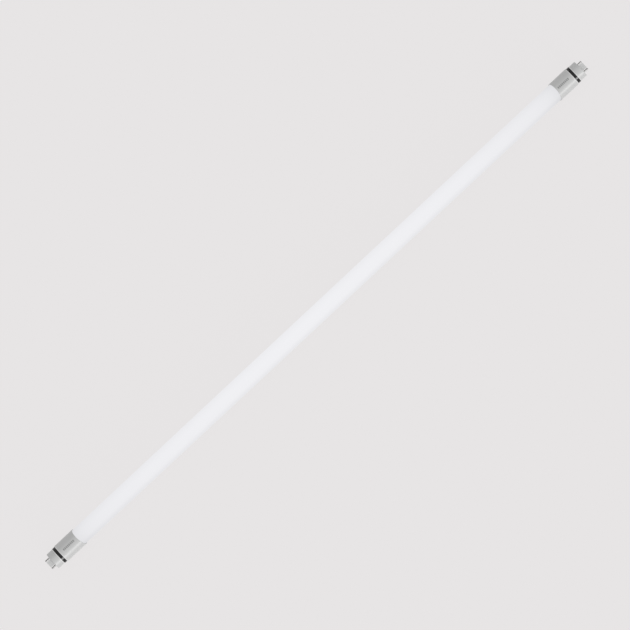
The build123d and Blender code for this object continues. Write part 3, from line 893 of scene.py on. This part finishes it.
dress(["led_carrier"], finish("extruded_aluminium", (0.62, 0.63, 0.64), 0.32, metallic=1.0, tone=0.03,
                              grain=0.3, bump=0.01, stretch=(0.02, 1, 1))[0])
dress(["led_board"], finish("white_solder_mask", (0.8, 0.8, 0.78), 0.3, tone=0.02, grain=0.5)[0])
dress(["led_packages"], finish("phosphor_package", (0.85, 0.7, 0.28), 0.35, tone=0.06, grain=0.2)[0])
dress(["driver_sleeve"], finish("insulating_film", (0.6, 0.62, 0.64), 0.18, tone=0.03, grain=2.0,
                                bump=0.03)[0])
dress(["driver_board"], finish("green_solder_mask", (0.03, 0.16, 0.06), 0.28, tone=0.15, grain=0.6)[0])
dress(["fuse_resistor"], finish("green_lacquer", (0.14, 0.28, 0.18), 0.3, tone=0.08, grain=0.3)[0])
dress(["varistor"], finish("blue_lacquer", (0.03, 0.1, 0.36), 0.25, tone=0.1, grain=0.4, bump=0.02)[0])
dress(["bridge_rectifier", "controller_chip", "output_diode", "chip_resistors", "header_block"],
      finish("black_resin", (0.02, 0.02, 0.021), 0.5, tone=0.15, grain=0.1, bump=0.008)[0])
dress(["input_choke", "inductor_core"], finish("pressed_ferrite", (0.045, 0.045, 0.05), 0.55, tone=0.2,
                                               grain=0.15, bump=0.02)[0])
dress(["film_capacitors"], finish("yellow_case", (0.75, 0.52, 0.05), 0.35, tone=0.04, grain=0.4)[0])
dress(["inductor_coil"], finish("enamelled_copper", (0.62, 0.24, 0.1), 0.3, metallic=1.0, tone=0.12,
                                grain=0.1, bump=0.05, stretch=(6, 1, 1))[0])
dress(["smoothing_capacitor"], finish("dark_can_sleeve", (0.03, 0.035, 0.05), 0.3, tone=0.1, grain=0.5)[0])
dress(["header_pins", "pin_link"], pin_finish)
dress(["supply_lead_front"], finish("red_insulation", (0.5, 0.02, 0.015), 0.4, tone=0.06, grain=0.3)[0])
dress(["supply_lead_back"], finish("white_insulation", (0.78, 0.78, 0.76), 0.4, tone=0.03, grain=0.3)[0])

# %% [markdown]
# ## The studio
# A pale sheet lies under the lamp and the air around it is an even pale white. For the camera, and
# in mirror-like reflections, both show the same light grey, so the sheet has no edge. Most of what
# the camera sees of the sheet is that flat grey, and the rest is real shading, which keeps a faint
# shadow of the lamp. One large soft box stands low in front of the lamp. An area lamp would light
# the middle more than the ends. A sun lamp with a wide angle stands for a box that is far away,
# and gives the same soft stripe on both caps.

# %% Floor and world
BACKDROP = (0.8, 0.782, 0.784)
WORLD_LEVEL = 0.87
FLOOR_HALF = 40.0
FLAT_SHARE = 0.96
SHEET_ROUGHNESS = 0.9


def seen_directly(tree):
    """One for camera, glossy and transmission rays."""
    path = add(tree, "ShaderNodeLightPath")
    first = math_node(tree, "MAXIMUM", path.outputs["Is Camera Ray"], path.outputs["Is Glossy Ray"])
    return math_node(tree, "MAXIMUM", first, path.outputs["Is Transmission Ray"])


def studio_floor():
    """A large pale sheet under the lamp, mostly of one flat tone for the camera."""
    bpy.ops.object.select_all(action="DESELECT")
    bpy.ops.mesh.primitive_plane_add(size=2 * FLOOR_HALF, location=(0, 0, 0))
    floor = bpy.context.object
    floor.name = "studio_floor"
    sheet = bpy.data.materials.new("pale_sheet")
    sheet.use_nodes = True
    tree = sheet.node_tree
    shader = tree.nodes["Principled BSDF"]
    shader.inputs["Base Color"].default_value = (*BACKDROP, 1)
    shader.inputs["Roughness"].default_value = SHEET_ROUGHNESS
    flat = add(tree, "ShaderNodeEmission", Color=(*BACKDROP, 1), Strength=1.0)
    both = add(tree, "ShaderNodeMixShader")
    share = math_node(tree, "MULTIPLY", seen_directly(tree), FLAT_SHARE)
    tree.links.new(share, both.inputs[0])
    tree.links.new(shader.outputs[0], both.inputs[1])
    tree.links.new(flat.outputs[0], both.inputs[2])
    tree.links.new(both.outputs[0], tree.nodes["Material Output"].inputs["Surface"])
    floor.data.materials.append(sheet)
    floor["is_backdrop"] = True


def studio_world():
    """Even pale air, which the camera and mirror-like surfaces see in the sheet's tone."""
    world = bpy.data.worlds.new("pale_studio")
    bpy.context.scene.world = world
    world.use_nodes = True
    tree = world.node_tree
    background = tree.nodes["Background"]
    air = add(tree, "ShaderNodeMix", {"data_type": "RGBA"})
    air.inputs[COLOUR_A].default_value = (WORLD_LEVEL, WORLD_LEVEL, WORLD_LEVEL, 1)
    air.inputs[COLOUR_B].default_value = (*BACKDROP, 1)
    tree.links.new(seen_directly(tree), air.inputs[0])
    tree.links.new(air.outputs[COLOUR_OUT], background.inputs["Color"])


studio_floor()
studio_world()
print("studio: floor", 2 * FLOOR_HALF, "m wide, air at", WORLD_LEVEL)

# %% The soft box
BOX_ELEVATION = radians(15)
BOX_WIDTH = radians(23)
BOX_STRENGTH = 1.5


def soft_box():
    """A wide, soft sun lamp from low in front."""
    data = bpy.data.lights.new("soft_box", "SUN")
    data.energy = BOX_STRENGTH
    data.angle = BOX_WIDTH
    lamp = bpy.data.objects.new("soft_box", data)
    bpy.context.scene.collection.objects.link(lamp)
    towards = Vector((0, cos(BOX_ELEVATION), -sin(BOX_ELEVATION)))
    lamp.rotation_euler = towards.to_track_quat("-Z", "Y").to_euler()


soft_box()
print("soft box: strength", BOX_STRENGTH)

# %% [markdown]
# ## The camera
# The photograph looks down on the lamp from the front, steeply, and shows no perspective. An
# orthographic camera has none either, but a very long lens far away is what a photographer would
# use, and it can be changed for a closer look. The camera is rolled until the lamp runs from the
# lower left to the upper right. The lamp's middle lies a pixel or two beside the picture's middle,
# and the camera is moved by that much, in its own plane.

# %% Place the camera
IMAGE_PIXELS = 630
PIXEL_SIZE = 1.3425
MIDDLE_RIGHT = 1.62
MIDDLE_UP = 0.005
CAMERA_ELEVATION = radians(75)
ROLL = radians(43.039)
SENSOR = 36.0
LENS = 425.0
CLIP_NEAR = 0.01
CLIP_FAR = 10.0


def long_lens_camera():
    """The camera, placed so that one pixel at the lamp's axis is PIXEL_SIZE."""
    data = bpy.data.cameras.new("long_lens")
    data.sensor_width = SENSOR
    data.lens = LENS
    camera = bpy.data.objects.new("long_lens", data)
    bpy.context.scene.collection.objects.link(camera)
    field = IMAGE_PIXELS * PIXEL_SIZE * MM
    distance = field / 2 / (SENSOR / 2 / LENS)
    back = Vector((0, -cos(CAMERA_ELEVATION), sin(CAMERA_ELEVATION)))
    level_up = Vector((0, sin(CAMERA_ELEVATION), cos(CAMERA_ELEVATION)))
    right = Vector((1, 0, 0)) * cos(ROLL) - level_up * sin(ROLL)
    up = Vector((1, 0, 0)) * sin(ROLL) + level_up * cos(ROLL)
    pixel = PIXEL_SIZE * MM
    middle = Vector((0, 0, axis_height * MM)) - right * MIDDLE_RIGHT * pixel - up * MIDDLE_UP * pixel
    turn = Matrix((right, up, back)).transposed().to_4x4()
    camera.matrix_world = Matrix.Translation(middle + back * distance) @ turn
    data.clip_start = CLIP_NEAR * distance
    data.clip_end = CLIP_FAR * distance
    bpy.context.scene.camera = camera


long_lens_camera()
bpy.context.scene.view_settings.view_transform = "Standard"
field_angle = 2 * atan(SENSOR / 2 / LENS)
print("camera: field of", round(degrees(field_angle), 2), "degrees")

# %% [markdown]
# ## Hand over
# The box of what now shows is measured. It should agree with the box of the construction model,
# because the finished pieces keep the sizes of the frame.

# %% Measure the box of what shows
low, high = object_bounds()
